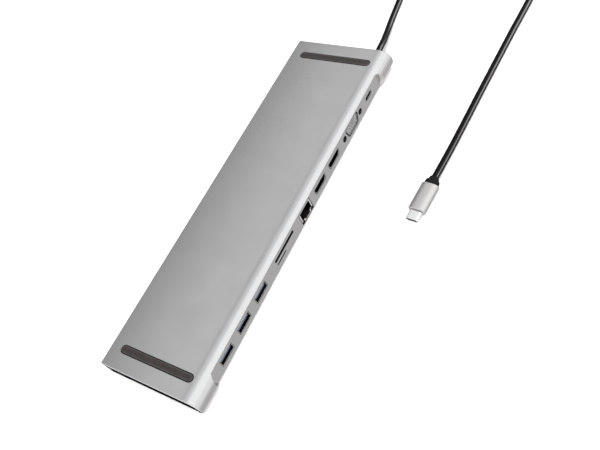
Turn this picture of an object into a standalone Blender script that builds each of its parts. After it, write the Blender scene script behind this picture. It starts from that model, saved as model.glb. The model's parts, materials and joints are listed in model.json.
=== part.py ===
"""Laptop docking station: an aluminium bar with a port side, rubber rests and a fixed USB-C lead.

Frame: +X along the bar towards the end the lead leaves, -Y the port side, +Z up.
The origin is on the resting surface, under the middle of the bar.
Lengths are written in millimetres and turned into metres where a mesh is made.
"""
import math

import bmesh
import bpy
from mathutils import Vector

MM = 0.001
GAP = 0.3                      # clearance between neighbouring pieces

# bar
HALF_LENGTH = 139.2
HALF_DEPTH = 38.8
SHELL_LOW = 1.3                # underside of the housing above the surface
SHELL_TOP = 16.5
NOSE_RADIUS = 8.2
NOSE_Y = NOSE_RADIUS - HALF_DEPTH
NOSE_Z = SHELL_TOP - NOSE_RADIUS
WALL = 1.5
BACK_ROUND = 0.9
END_CHAMFER = 0.5
NOSE_STEPS = 20

# port side
PORT_FACE_Y = -35.7
PORT_WALL_INNER_Y = -33.9
RECESS_HALF = 121.9
RECESS_TOP = 14.45
RECESS_RADIUS = 6.75
PORT_FRONT_Y = PORT_FACE_Y + 0.1

# end plates, base and board
RIM = 1.0                      # housing wall left around an end plate
END_POCKET = 2.2               # depth of the end plate's pocket
BASE_LOW = 2.4
BASE_THICK = 1.6
BASE_TOP = BASE_LOW + BASE_THICK
LIP_TOP = 2.1
BOARD_LOW = 4.6
BOARD_TOP = 5.6
BACK_INNER_Y = HALF_DEPTH - WALL
RIB_FRONT_Y = 33.3
RIB_LOW = 6.6
RIB_TOP = 10.8

# rests and feet
REST_X = 125.9
REST_Y = 1.0
REST_LENGTH = 58.8
REST_WIDTH = 5.6
REST_PROUD = 0.4
REST_POCKET = 0.8
FOOT_X = 116.0
FOOT_LENGTH = 56.0
FOOT_WIDTH = 12.0
FOOT_POCKET = 0.5

# ports: middle of each along X and up Z
USB_A_X = (-103.0, -81.2, -59.3)
HDMI_X = (25.0, 46.3)
DATA_Z = 9.3
SD_X, SD_Z = -26.2, 10.6
MICRO_SD_X, MICRO_SD_Z = -32.3, 6.7
NETWORK_X = 4.0
VGA_X, VGA_Z = 76.2, 8.6
JACK_PITCH = 25.0
USB_C_X, USB_C_Z = 103.05, 9.1

# lead: where it leaves the bar, its plug and its route along the surface
LEAD_RADIUS = 2.4
LEAD_Y, LEAD_Z = -24.2, 8.3
LEAD_REST_Z = 2.45
PLUG_X, PLUG_Y, PLUG_Z = 35.3, -104.6, 3.2
PLUG_TURN = math.radians(-3.5)
PLUG_HALF = 10.2
PLUG_WIDTH, PLUG_THICK = 11.6, 6.3
COLLAR_LENGTH = 5.7
TIP_LENGTH = 6.6
LEAD_ROUTE = (
    (144.1, LEAD_Y, LEAD_Z), (147.0, -24.1, 8.15), (151.0, -23.6, 7.6), (158.0, -22.3, 6.1),
    (166.0, -20.4, 4.4), (175.0, -18.4, 3.1), (186.0, -16.6, 2.55), (198.0, -15.2, LEAD_REST_Z),
    (212.0, -13.6, LEAD_REST_Z), (228.0, -12.2, LEAD_REST_Z), (245.0, -13.4, LEAD_REST_Z),
    (260.0, -19.4, LEAD_REST_Z), (272.0, -30.2, LEAD_REST_Z), (279.5, -44.8, LEAD_REST_Z),
    (282.0, -61.5, LEAD_REST_Z), (279.0, -78.5, LEAD_REST_Z), (270.5, -93.4, LEAD_REST_Z),
    (257.5, -104.8, LEAD_REST_Z), (241.5, -111.0, LEAD_REST_Z), (224.0, -112.6, LEAD_REST_Z),
    (206.0, -112.0, LEAD_REST_Z), (182.0, -110.7, LEAD_REST_Z), (154.6, -109.6, LEAD_REST_Z),
    (126.0, -108.5, LEAD_REST_Z), (98.0, -107.6, LEAD_REST_Z), (78.0, -106.9, 2.6),
    (64.0, -106.3, 2.95), (51.8, -105.62, PLUG_Z),
)
LEAD_SPACING = 11.0


# ---------------------------------------------------------------- tools

def clear_scene():
    for obj in list(bpy.data.objects):
        bpy.data.objects.remove(obj, do_unlink=True)


def make_material(name, colour, roughness, metallic=0.0):
    material = bpy.data.materials.new(name)
    material.use_nodes = True
    shader = material.node_tree.nodes["Principled BSDF"]
    shader.inputs["Base Color"].default_value = (*colour, 1.0)
    shader.inputs["Roughness"].default_value = roughness
    shader.inputs["Metallic"].default_value = metallic
    material.diffuse_color = (*colour, 1.0)
    return material


def add_mesh(name, bm, material):
    bmesh.ops.recalc_face_normals(bm, faces=bm.faces)
    mesh = bpy.data.meshes.new(name)
    bm.to_mesh(mesh)
    bm.free()
    if material:
        mesh.materials.append(material)
    obj = bpy.data.objects.new(name, mesh)
    bpy.context.scene.collection.objects.link(obj)
    return obj


def skin(bm, rings):
    """Closed skin through rings of 3-D points, all rings with the same number of points."""
    loops = [[bm.verts.new(Vector(point) * MM) for point in ring] for ring in rings]
    count = len(loops[0])
    for first, second in zip(loops, loops[1:]):
        for i in range(count):
            j = (i + 1) % count
            bm.faces.new((first[i], first[j], second[j], second[i]))
    bm.faces.new(loops[0])
    bm.faces.new(loops[-1])


def place(outline, axis, level):
    """Points of a flat outline set at a level along X, Y or Z."""
    if axis == "X":
        return [(level, u, v) for u, v in outline]
    if axis == "Y":
        return [(u, level, v) for u, v in outline]
    return [(u, v, level) for u, v in outline]


def add_prism(bm, outline, axis, low, high):
    skin(bm, [place(outline, axis, low), place(outline, axis, high)])


def add_box(bm, low, high):
    outline = [(low[0], low[1]), (high[0], low[1]), (high[0], high[1]), (low[0], high[1])]
    add_prism(bm, outline, "Z", low[2], high[2])


def prism(name, outline, axis, low, high, material=None):
    bm = bmesh.new()
    add_prism(bm, outline, axis, low, high)
    return add_mesh(name, bm, material)


def box(name, low, high, material=None):
    bm = bmesh.new()
    add_box(bm, low, high)
    return add_mesh(name, bm, material)


def arc(centre_u, centre_v, radius, start, end, steps):
    """Points of an arc, angles in degrees from the first axis."""
    angles = [math.radians(start + (end - start) * i / steps) for i in range(steps + 1)]
    return [(centre_u + radius * math.cos(a), centre_v + radius * math.sin(a)) for a in angles]


def circle(centre_u, centre_v, radius, sides):
    return arc(centre_u, centre_v, radius, 0.0, 360.0, sides)[:-1]


def rounded(centre_u, centre_v, width, height, radius, steps):
    """Rectangle with round corners; a radius of half the short side gives a slot."""
    du, dv = width / 2 - radius, height / 2 - radius
    outline = []
    for sign_u, sign_v, start in ((1, 1, 0), (-1, 1, 90), (-1, -1, 180), (1, -1, 270)):
        corner = arc(centre_u + sign_u * du, centre_v + sign_v * dv, radius, start, start + 90, steps)
        outline.extend(corner)
    unique = []
    for point in outline:
        if not unique or math.dist(point, unique[-1]) > 1e-4:
            unique.append(point)
    if math.dist(unique[0], unique[-1]) < 1e-4:
        unique.pop()
    return unique


def guide(obj):
    obj.hide_render = True
    obj.display_type = "WIRE"
    return obj


def combine(target, tool, operation="DIFFERENCE"):
    guide(tool)
    modifier = target.modifiers.new(tool.name, "BOOLEAN")
    modifier.operation = operation
    modifier.solver = "EXACT"
    modifier.object = tool


def cut_each(target, name, adders):
    """Cuts several shapes that stand clear of each other out of a target in one step."""
    bm = bmesh.new()
    for adder in adders:
        adder(bm)
    combine(target, add_mesh(name, bm, None))


def turned_x(name, centre_y, centre_z, profile, sides, material):
    """Solid turned about a line along X, from a list of (x, radius)."""
    bm = bmesh.new()
    skin(bm, [place(circle(centre_y, centre_z, radius, sides), "X", x) for x, radius in profile])
    obj = add_mesh(name, bm, material)
    smooth(obj)
    return obj


def smooth(obj, angle=35.0):
    obj.data.shade_smooth()
    obj.data.set_sharp_from_angle(angle=math.radians(angle))


# ---------------------------------------------------------------- housing, base and end plates

def bar_outline(inset=0.0, low=None):
    """Cross-section of the bar in (y, z): flat top, square back, round nose on the port side."""
    low = SHELL_LOW + inset if low is None else low
    back, top = HALF_DEPTH - inset, SHELL_TOP - inset
    nose = NOSE_RADIUS - inset
    level = max(low, SHELL_LOW + min(inset, 0.5))
    last = 180.0 + math.degrees(math.asin((NOSE_Z - level) / nose))
    corner = max(BACK_ROUND - inset, 0.1)
    outline = [(back, low)]
    outline += arc(back - corner, top - corner, corner, 0.0, 90.0, 4)
    outline += arc(NOSE_Y, NOSE_Z, nose, 90.0, last, NOSE_STEPS)
    if low < level - 0.01:
        outline.append((outline[-1][0], low))
    return outline


def cavity_outline():
    """Inside of the housing: open below between two lips, with a screw rib on the back wall."""
    front_z = NOSE_Z + math.sqrt((NOSE_RADIUS - WALL) ** 2 - (PORT_WALL_INNER_Y - NOSE_Y) ** 2)
    turn = math.degrees(math.atan2(front_z - NOSE_Z, PORT_WALL_INNER_Y - NOSE_Y))
    outline = [(-32.0, -1.0), (35.2, -1.0), (35.2, LIP_TOP), (BACK_INNER_Y, LIP_TOP)]
    outline += [(BACK_INNER_Y, RIB_LOW), (RIB_FRONT_Y, RIB_LOW), (RIB_FRONT_Y, RIB_TOP)]
    outline += [(BACK_INNER_Y, RIB_TOP), (BACK_INNER_Y, SHELL_TOP - WALL)]
    outline += arc(NOSE_Y, NOSE_Z, NOSE_RADIUS - WALL, 90.0, turn, 5)
    outline += [(PORT_WALL_INNER_Y, LIP_TOP), (-32.0, LIP_TOP)]
    return outline


def end_screw_places():
    return ((-35.3, NOSE_Z), (35.4, (RIB_LOW + RIB_TOP) / 2))


def vga_outline(width, height, radius=1.6):
    """D-shaped outline: its long side is up, and its ends lean in by 10 degrees."""
    lean = math.tan(math.radians(10.0)) * height / 2
    corners = ((1, 1, 0), (-1, 1, 90), (-1, -1, 180), (1, -1, 270))
    outline = []
    for sign_x, sign_z, start in corners:
        reach = width / 2 - (0.0 if sign_z > 0 else 2 * lean) - radius
        outline += arc(VGA_X + sign_x * reach, VGA_Z + sign_z * (height / 2 - radius), radius,
                       start, start + 90, 3)
    return outline


def hdmi_outline(middle_x, width, height):
    """Flat opening whose lower corners are cut off."""
    half, cut = width / 2, 1.7
    high, low = DATA_Z + height / 2, DATA_Z - height / 2
    return [(middle_x - half, high), (middle_x - half, low + cut), (middle_x - half + 0.6, low + cut - 0.5),
            (middle_x - half + cut, low), (middle_x + half - cut, low),
            (middle_x + half - 0.6, low + cut - 0.5), (middle_x + half, low + cut), (middle_x + half, high)]


def network_outline(grow=0.0, low=2.8):
    """Stepped face of the network socket, with the latch's part in the middle below."""
    half, latch, step = 7.7 + grow, 4.3 + grow, 4.6 - grow
    low, high = low - grow, 13.5 + grow
    return [(NETWORK_X - half, high), (NETWORK_X - half, step), (NETWORK_X - latch, step),
            (NETWORK_X - latch, low), (NETWORK_X + latch, low), (NETWORK_X + latch, step),
            (NETWORK_X + half, step), (NETWORK_X + half, high)]


def port_openings():
    """Outlines in (x, z) of every opening through the port wall."""
    outlines = [rounded(x, DATA_Z, 13.7, 6.4, 0.5, 2) for x in USB_A_X]
    outlines.append(rounded(SD_X, SD_Z, 24.6, 2.4, 0.6, 2))
    outlines.append(rounded(MICRO_SD_X, MICRO_SD_Z, 11.5, 1.2, 0.5, 2))
    outlines.append(rounded(NETWORK_X, 8.2, 16.6, 11.6, 0.4, 1))
    outlines += [hdmi_outline(x, 15.7, 6.3) for x in HDMI_X]
    outlines.append(vga_outline(19.0, 10.4, 2.4))
    outlines += [circle(VGA_X + side * JACK_PITCH / 2, VGA_Z, 2.35, 14) for side in (-1, 1)]
    outlines.append(rounded(USB_C_X, USB_C_Z, 9.6, 3.9, 1.94, 5))
    return outlines


def build_housing(material):
    bm = bmesh.new()
    ends = ((-HALF_LENGTH, END_CHAMFER), (-HALF_LENGTH + END_CHAMFER, 0.0),
            (HALF_LENGTH - END_CHAMFER, 0.0), (HALF_LENGTH, END_CHAMFER))
    skin(bm, [place(bar_outline(inset), "X", x) for x, inset in ends])
    housing = add_mesh("top_housing", bm, material)
    far = HALF_LENGTH + 20.0
    combine(housing, prism("cut_cavity", cavity_outline(), "X", -far, far))
    pocket = bar_outline(RIM, -1.0)
    floor_x = HALF_LENGTH - END_POCKET
    cut_each(housing, "cut_ends", [
        lambda bm: add_prism(bm, pocket, "X", -far, -floor_x),
        lambda bm: add_prism(bm, pocket, "X", floor_x, far)])
    recess = rounded(0.0, RECESS_TOP - RECESS_RADIUS, 2 * RECESS_HALF, 2 * RECESS_RADIUS,
                     RECESS_RADIUS - 0.01, 8)
    combine(housing, prism("cut_recess", recess, "Y", -60.0, PORT_FACE_Y))
    cut_each(housing, "cut_ports", [
        lambda bm, outline=outline: add_prism(bm, outline, "Y", PORT_FACE_Y - 2.0, PORT_WALL_INNER_Y + 1.0)
        for outline in port_openings()])
    rest = rounded(0.0, REST_Y, REST_WIDTH, REST_LENGTH, REST_WIDTH / 2 - 0.01, 5)
    cut_each(housing, "cut_rests", [
        lambda bm, side=side: add_prism(bm, [(u + side * REST_X, v) for u, v in rest], "Z",
                                        SHELL_TOP - REST_POCKET, 25.0)
        for side in (-1, 1)])
    cut_each(housing, "cut_screw_holes", [
        lambda bm, y=y, z=z, side=side: add_prism(bm, circle(y, z, 0.9, 10), "X",
                                                  *sorted((side * (floor_x - 8.0), side * far)))
        for y, z in end_screw_places() for side in (-1, 1)])
    smooth(housing)
    return housing


def build_base(material):
    half = HALF_LENGTH - END_POCKET - GAP
    outline = [(-33.6, BASE_LOW), (37.0, BASE_LOW), (37.0, BASE_TOP), (-33.6, BASE_TOP)]
    base = prism("base_plate", outline, "X", -half, half, material)
    for number, (x, y) in enumerate(board_screw_places(), 1):
        boss = prism(f"boss_{number}", circle(x, y, 2.6, 12), "Z", BASE_TOP - 0.5, BOARD_LOW - GAP)
        combine(base, boss, "UNION")
    cut_each(base, "cut_boss_holes", [
        lambda bm, x=x, y=y: add_prism(bm, circle(x, y, 1.2, 10), "Z", BASE_LOW + 0.7, 10.0)
        for x, y in board_screw_places()])
    foot = rounded(0.0, REST_Y, FOOT_WIDTH, FOOT_LENGTH, FOOT_WIDTH / 2 - 0.01, 6)
    cut_each(base, "cut_feet", [
        lambda bm, side=side: add_prism(bm, [(u + side * FOOT_X, v) for u, v in foot], "Z",
                                        0.0, BASE_LOW + FOOT_POCKET)
        for side in (-1, 1)])
    return base


def build_end_plates(material):
    """Black plates set in the ends of the housing, the far one with the lead's hole."""
    outline = bar_outline(RIM + GAP, 1.5)
    inner, outer = HALF_LENGTH - END_POCKET + GAP, HALF_LENGTH - 0.2
    for name, side in (("near_end_plate", -1), ("lead_end_plate", 1)):
        plate = prism(name, outline, "X", *sorted((side * inner, side * outer)), material)
        for number, (y, z) in enumerate(end_screw_places(), 1):
            steps = ((inner - 1.0, 1.0), (outer - 0.8, 1.0), (outer + 0.1, 1.8), (outer + 2.0, 1.8))
            sink = turned_x(f"{name}_sink_{number}", y, z, [(side * x, r) for x, r in steps], 14, None)
            combine(plate, sink)
        if side > 0:
            combine(plate, prism("cut_lead_hole", circle(LEAD_Y, LEAD_Z, 3.6, 20), "X", 130.0, 145.0))


def build_end_screws(material):
    """Countersunk screws that hold the end plates."""
    top = HALF_LENGTH - 0.3
    for side, label in ((-1, "near"), (1, "lead")):
        for number, (y, z) in enumerate(end_screw_places(), 1):
            steps = ((top - 8.5, 0.6), (top - 0.7, 0.6), (top, 1.4))
            screw = turned_x(f"{label}_end_screw_{number}", y, z, [(side * x, r) for x, r in steps],
                             14, material)
            slots = prism(f"{screw.name}_drive", [(y - 0.9, z - 0.2), (y + 0.9, z - 0.2),
                                                  (y + 0.9, z + 0.2), (y - 0.9, z + 0.2)],
                          "X", *sorted((side * (top - 0.4), side * (top + 1.0))))
            combine(screw, slots)
            across = prism(f"{screw.name}_drive_b", [(y - 0.2, z - 0.9), (y + 0.2, z - 0.9),
                                                     (y + 0.2, z + 0.9), (y - 0.2, z + 0.9)],
                           "X", *sorted((side * (top - 0.4), side * (top + 1.0))))
            combine(screw, across)


def build_rubber(material):
    """Two rests for the laptop on top and two feet below, all with round ends."""
    inset = 0.35
    for label, side in (("near", -1), ("lead", 1)):
        steps = ((SHELL_TOP - REST_POCKET + GAP, inset), (SHELL_TOP + REST_PROUD - 0.3, inset),
                 (SHELL_TOP + REST_PROUD, inset + 0.35))
        bm = bmesh.new()
        skin(bm, [place(rounded(side * REST_X, REST_Y, REST_WIDTH - 2 * grow, REST_LENGTH - 2 * grow,
                                REST_WIDTH / 2 - grow - 0.01, 5), "Z", z) for z, grow in steps])
        smooth(add_mesh(f"{label}_rubber_rest", bm, material))
        bm = bmesh.new()
        steps = ((0.0, 0.8), (0.5, 0.3), (BASE_LOW + FOOT_POCKET - GAP, 0.3))
        skin(bm, [place(rounded(side * FOOT_X, REST_Y, FOOT_WIDTH - 2 * grow, FOOT_LENGTH - 2 * grow,
                                FOOT_WIDTH / 2 - grow - 0.01, 6), "Z", z) for z, grow in steps])
        smooth(add_mesh(f"{label}_foot", bm, material))


# ---------------------------------------------------------------- connectors

def frame_tube(name, outer, inner, low, high, material):
    """Thin metal sleeve along Y, open at both ends; the outlines have the same point count."""
    bm = bmesh.new()
    levels = (low, high)
    rings = {}
    for key, outline in (("outer", outer), ("inner", inner)):
        rings[key] = [[bm.verts.new(Vector(p) * MM) for p in place(outline, "Y", y)] for y in levels]
    count = len(outer)
    for i in range(count):
        j = (i + 1) % count
        near_out, far_out = rings["outer"]
        near_in, far_in = rings["inner"]
        bm.faces.new((near_out[i], near_out[j], far_out[j], far_out[i]))
        bm.faces.new((near_in[j], near_in[i], far_in[i], far_in[j]))
        bm.faces.new((near_out[j], near_out[i], near_in[i], near_in[j]))
        bm.faces.new((far_out[i], far_out[j], far_in[j], far_in[i]))
    return add_mesh(name, bm, material)


def stepped_block(name, outline, x_low, x_high, material):
    """Plastic insert: a side view in (y, z) carried across X."""
    return prism(name, outline, "X", x_low, x_high, material)


def build_usb_a(steel, plastic):
    """Three USB-A sockets: steel sleeve and a plastic tongue near the top of the opening."""
    low, high = DATA_Z - 2.9, DATA_Z + 2.9
    back = PORT_FRONT_Y + 14.0
    for number, x in enumerate(USB_A_X, 1):
        outer = rounded(x, DATA_Z, 13.1, 5.8, 0.5, 2)
        inner = rounded(x, DATA_Z, 12.4, 5.1, 0.2, 2)
        frame_tube(f"usb_a_shell_{number}", outer, inner, PORT_FRONT_Y, back, steel)
        tongue = [(PORT_FRONT_Y + 0.4, high - 2.75), (PORT_FRONT_Y + 0.4, high - 0.85),
                  (back - 3.6, high - 0.85), (back - 3.6, high - 0.65), (back + 1.6, high - 0.65),
                  (back + 1.6, BOARD_TOP + GAP), (back + 0.3, BOARD_TOP + GAP),
                  (back + 0.3, low + 0.65), (back - 3.6, low + 0.65), (back - 3.6, high - 2.75)]
        stepped_block(f"usb_a_tongue_{number}", tongue, x - 5.85, x + 5.85, plastic)


def build_hdmi(steel, plastic):
    """Two HDMI sockets with cut lower corners and a thin tongue in the middle."""
    back = PORT_FRONT_Y + 11.0
    for number, x in enumerate(HDMI_X, 1):
        outer = hdmi_outline(x, 15.1, 5.7)
        inner = hdmi_outline(x, 14.4, 5.0)
        frame_tube(f"hdmi_shell_{number}", outer, inner, PORT_FRONT_Y, back, steel)
        tongue = [(PORT_FRONT_Y + 1.4, DATA_Z + 0.1), (PORT_FRONT_Y + 1.4, DATA_Z + 1.3),
                  (back - 2.6, DATA_Z + 1.3), (back - 2.6, DATA_Z + 2.1), (back + 1.6, DATA_Z + 2.1),
                  (back + 1.6, BOARD_TOP + GAP), (back + 0.3, BOARD_TOP + GAP),
                  (back + 0.3, DATA_Z - 0.7), (back - 2.6, DATA_Z - 0.7), (back - 2.6, DATA_Z + 0.1)]
        stepped_block(f"hdmi_tongue_{number}", tongue, x - 5.4, x + 5.4, plastic)


def build_usb_c(steel, plastic):
    back = PORT_FRONT_Y + 7.0
    outer = rounded(USB_C_X, USB_C_Z, 8.94, 3.26, 1.62, 5)
    inner = rounded(USB_C_X, USB_C_Z, 8.34, 2.66, 1.32, 5)
    frame_tube("usb_c_shell", outer, inner, PORT_FRONT_Y, back, steel)
    tongue = [(PORT_FRONT_Y + 0.5, USB_C_Z - 0.35), (PORT_FRONT_Y + 0.5, USB_C_Z + 0.35),
              (back - 1.6, USB_C_Z + 0.35), (back - 1.6, USB_C_Z + 1.0), (back + 3.4, USB_C_Z + 1.0),
              (back + 3.4, BOARD_TOP + GAP), (back + 0.3, BOARD_TOP + GAP),
              (back + 0.3, USB_C_Z - 1.0), (back - 1.6, USB_C_Z - 1.0), (back - 1.6, USB_C_Z - 0.35)]
    stepped_block("usb_c_tongue", tongue, USB_C_X - 3.0, USB_C_X + 3.0, plastic)


def build_card_sockets(steel, dark):
    """SD socket on two side legs, bridging the microSD socket on the board."""
    front, half = PORT_WALL_INNER_Y + GAP, 13.8
    top, roof, under = SD_Z + 1.6, SD_Z - 1.6, BOARD_TOP + GAP
    outline = [(SD_X - half, under), (SD_X - half + 1.1, under), (SD_X - half + 1.1, roof),
               (SD_X + half - 1.1, roof), (SD_X + half - 1.1, under), (SD_X + half, under),
               (SD_X + half, top), (SD_X - half, top)]
    socket = prism("sd_card_socket", outline, "Y", front, front + 25.0, steel)
    combine(socket, box("cut_sd_slot", (SD_X - 12.2, front - 5.0, SD_Z - 1.1),
                        (SD_X + 12.2, front + 22.0, SD_Z + 1.1)))
    small = box("microsd_card_socket", (MICRO_SD_X - 6.2, front, under),
                (MICRO_SD_X + 6.2, front + 14.0, under + 1.7), dark)
    combine(small, box("cut_microsd_slot", (MICRO_SD_X - 5.65, front - 5.0, MICRO_SD_Z - 0.45),
                       (MICRO_SD_X + 5.65, front + 12.0, MICRO_SD_Z + 0.5)))


def build_network_socket(steel, dark, brass):
    """Network socket: steel shield with a stepped face, black liner and eight sprung contacts."""
    front = PORT_FRONT_Y
    depth_end = front + 16.5
    shield = prism("network_shield", network_outline(), "Y", front, PORT_WALL_INNER_Y - 0.1, steel)
    body = box("network_shield_body", (NETWORK_X - 7.7, front + 0.8, BASE_TOP + GAP + 0.2),
               (NETWORK_X + 7.7, depth_end, 13.5))
    combine(shield, body, "UNION")
    combine(shield, box("cut_network_inside", (NETWORK_X - 7.3, front - 3.0, 4.95),
                        (NETWORK_X + 7.3, depth_end - 0.4, 13.1)))
    combine(shield, box("cut_network_latch", (NETWORK_X - 3.4, front - 3.0, 3.3),
                        (NETWORK_X + 3.4, PORT_WALL_INNER_Y + 3.0, 5.5)))
    liner = box("network_liner", (NETWORK_X - 7.0, front + 0.5, 5.25),
                (NETWORK_X + 7.0, depth_end - 0.7, 12.8), dark)
    combine(liner, box("cut_liner_plug", (NETWORK_X - 5.9, front - 3.0, 6.0),
                       (NETWORK_X + 5.9, front + 11.5, 12.1)))
    combine(liner, box("cut_liner_latch", (NETWORK_X - 3.1, front - 3.0, 4.0),
                       (NETWORK_X + 3.1, front + 9.5, 7.0)))
    bm = bmesh.new()
    for i in range(8):
        x = NETWORK_X + (i - 3.5) * 1.02
        wire = [(front + 7.1, 11.1), (front + 11.0, 11.5), (front + 11.0, 11.85), (front + 7.0, 11.45)]
        add_prism(bm, wire, "X", x - 0.2, x + 0.2)
    wires = add_mesh("network_contact_wires", bm, None)
    contacts = box("network_contacts", (NETWORK_X - 4.2, front + 10.4, 11.3),
                   (NETWORK_X + 4.2, front + 11.2, 11.8), brass)
    combine(contacts, wires, "UNION")


def build_vga(steel, grey):
    """VGA socket: D-shaped shell on a flange, insulator with its holes, and two jack nuts."""
    front, flange = PORT_FRONT_Y, -32.1
    shell = prism("vga_shell", vga_outline(16.6, 8.0, 1.9), "Y", front, flange + 0.9, steel)
    plate = box("vga_flange", (VGA_X - 15.4, flange, VGA_Z - 4.3), (VGA_X + 15.4, flange + 0.9, VGA_Z + 4.3))
    combine(shell, plate, "UNION")
    combine(shell, prism("cut_vga_shell", vga_outline(15.9, 7.3, 1.6), "Y", front - 3.0, flange + 3.0))
    cut_each(shell, "cut_vga_flange", [
        lambda bm, side=side: add_prism(bm, circle(VGA_X + side * JACK_PITCH / 2, VGA_Z, 1.5, 12), "Y",
                                        flange - 1.0, flange + 3.0) for side in (-1, 1)])
    insulator = prism("vga_insulator", vga_outline(15.3, 6.7, 1.4), "Y", front + 0.3, flange + 2.0, grey)
    block = box("vga_block", (VGA_X - 11.0, flange + 1.2, VGA_Z - 4.2),
                (VGA_X + 11.0, flange + 9.0, VGA_Z + 4.2))
    combine(insulator, block, "UNION")
    holes = []
    for row, shift in ((1, 0.0), (0, 1.15), (-1, 0.0)):
        for i in range(5):
            x = VGA_X + (i - 2) * 2.29 + shift - 0.4
            holes.append((x, VGA_Z + row * 1.98))
    cut_each(insulator, "cut_pin_holes", [
        lambda bm, x=x, z=z: add_prism(bm, circle(x, z, 0.5, 8), "Y", front - 1.0, front + 3.5)
        for x, z in holes])
    for number, side in ((1, -1), (2, 1)):
        x = VGA_X + side * JACK_PITCH / 2
        nut = prism(f"vga_jack_nut_{number}", circle(x, VGA_Z, 1.8, 16), "Y", -34.6, -32.4, steel)
        head = prism(f"nut_head_{number}", circle(x, VGA_Z, 2.7, 6), "Y", PORT_WALL_INNER_Y + GAP, -32.4)
        combine(nut, head, "UNION")
        combine(nut, prism(f"cut_nut_{number}", circle(x, VGA_Z, 1.4, 12), "Y", front - 1.0, -31.0))


# ---------------------------------------------------------------- board and what is on it

def board_screw_places():
    return ((-114.0, -27.5), (-114.0, 28.0), (116.0, 28.0), (94.9, -28.0))


def build_board(material):
    board = box("main_board", (-118.5, -33.3, BOARD_LOW), (121.0, 32.9, BOARD_TOP), material)
    cut_each(board, "cut_board_front", [
        lambda bm: add_box(bm, (NETWORK_X - 8.1, -50.0, 0.0), (NETWORK_X + 8.1, -18.7, 20.0)),
        lambda bm: add_box(bm, (VGA_X - 15.8, -50.0, 0.0), (VGA_X + 15.8, -22.6, 20.0))])
    cut_each(board, "cut_board_holes", [
        lambda bm, x=x, y=y: add_prism(bm, circle(x, y, 1.25, 12), "Z", 0.0, 20.0)
        for x, y in board_screw_places()])


def build_board_screws(material):
    for number, (x, y) in enumerate(board_screw_places(), 1):
        bm = bmesh.new()
        steps = ((BASE_LOW + 1.0, 0.9), (BOARD_TOP + GAP, 0.9), (BOARD_TOP + GAP, 1.9),
                 (BOARD_TOP + 1.2, 1.9), (BOARD_TOP + 1.6, 1.3))
        skin(bm, [place(circle(x, y, radius, 12), "Z", z) for z, radius in steps])
        smooth(add_mesh(f"board_screw_{number}", bm, material))


def build_electronics(chip, aluminium, pad, plastic, steel):
    """Processors, heat spreader with its pad, coils and the lead's header."""
    deck = BOARD_TOP + GAP
    chips = (("video_processor", -2.0, 3.0, 7.0, 1.4), ("usb_hub_chip", -72.0, 3.0, 4.5, 1.1),
             ("network_chip", 30.0, 8.0, 3.5, 1.1), ("power_controller", 98.0, -8.0, 3.0, 1.0))
    for name, x, y, half, height in chips:
        box(name, (x - half, y - half, deck), (x + half, y + half, deck + height), chip)
    box("thermal_pad", (-8.0, -3.0, deck + 1.7), (4.0, 9.0, 9.1), pad)
    spread = [(-7.0, deck), (-5.8, deck), (-5.8, 9.4), (22.8, 9.4), (22.8, deck), (24.0, deck),
              (24.0, 10.4), (-7.0, 10.4)]
    prism("heat_spreader", spread, "X", -84.0, 60.0, aluminium)
    for number, x in ((1, 78.0), (2, 78.0)):
        y = -6.0 + (number - 1) * 14.0
        outline = rounded(x, y, 9.0, 9.0, 1.5, 2)
        prism(f"power_coil_{number}", outline, "Z", deck, deck + 4.0, steel)
    box("lead_header", (111.5, -26.0, deck), (118.5, -14.0, deck + 3.6), plastic)


# ---------------------------------------------------------------- lead

def spline_points(route, spacing):
    """Evenly spaced points on a smooth curve through the route's points."""
    points = [Vector(p) for p in route]
    padded = [2 * points[0] - points[1], *points, 2 * points[-1] - points[-2]]
    fine = []
    for a, b, c, d in zip(padded, padded[1:], padded[2:], padded[3:]):
        for i in range(24):
            t = i / 24
            fine.append(0.5 * (2 * b + (c - a) * t + (2 * a - 5 * b + 4 * c - d) * t * t
                               + (3 * b - 3 * c + d - a) * t ** 3))
    fine.append(points[-1])
    reach = [0.0]
    for first, second in zip(fine, fine[1:]):
        reach.append(reach[-1] + (second - first).length)
    count = max(2, round(reach[-1] / spacing))
    result, k = [], 0
    for i in range(count + 1):
        target = reach[-1] * i / count
        while k < len(reach) - 2 and reach[k + 1] < target:
            k += 1
        share = (target - reach[k]) / (reach[k + 1] - reach[k])
        result.append(fine[k].lerp(fine[k + 1], share))
    return result


def tube(name, points, radius, resolution, material):
    curve = bpy.data.curves.new(name, "CURVE")
    curve.dimensions = "3D"
    curve.bevel_depth = radius * MM
    curve.bevel_resolution = resolution
    curve.use_fill_caps = True
    curve.resolution_u = 1
    curve.render_resolution_u = 0
    spline = curve.splines.new("POLY")
    spline.points.add(len(points) - 1)
    for slot, point in zip(spline.points, points):
        slot.co = (*(Vector(point) * MM), 1.0)
    curve.materials.append(material)
    obj = bpy.data.objects.new(name, curve)
    bpy.context.scene.collection.objects.link(obj)
    return obj


def build_lead(rubber, jacket):
    """Grommet in the end plate, the short lead inside the bar, and the lead outside it."""
    inner = HALF_LENGTH - END_POCKET
    steps = ((inner - 2.2, 4.0), (inner, 4.0), (inner, 3.3), (HALF_LENGTH + 0.1, 3.3),
             (HALF_LENGTH + 0.1, 3.9), (HALF_LENGTH + 0.9, 3.9), (HALF_LENGTH + 4.3, 2.8))
    turned_x("lead_grommet", LEAD_Y, LEAD_Z, steps, 16, rubber)
    route = ((inner - 2.5, LEAD_Y, LEAD_Z), (131.0, -23.9, 8.2), (127.0, -22.7, 8.0),
             (123.0, -21.1, 7.8), (119.8, -20.4, 7.7))
    tube("inner_lead", spline_points(route, 4.0), 1.7, 2, jacket)
    tube("usb_c_lead", spline_points(LEAD_ROUTE, LEAD_SPACING), LEAD_RADIUS, 3, jacket)


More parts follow.
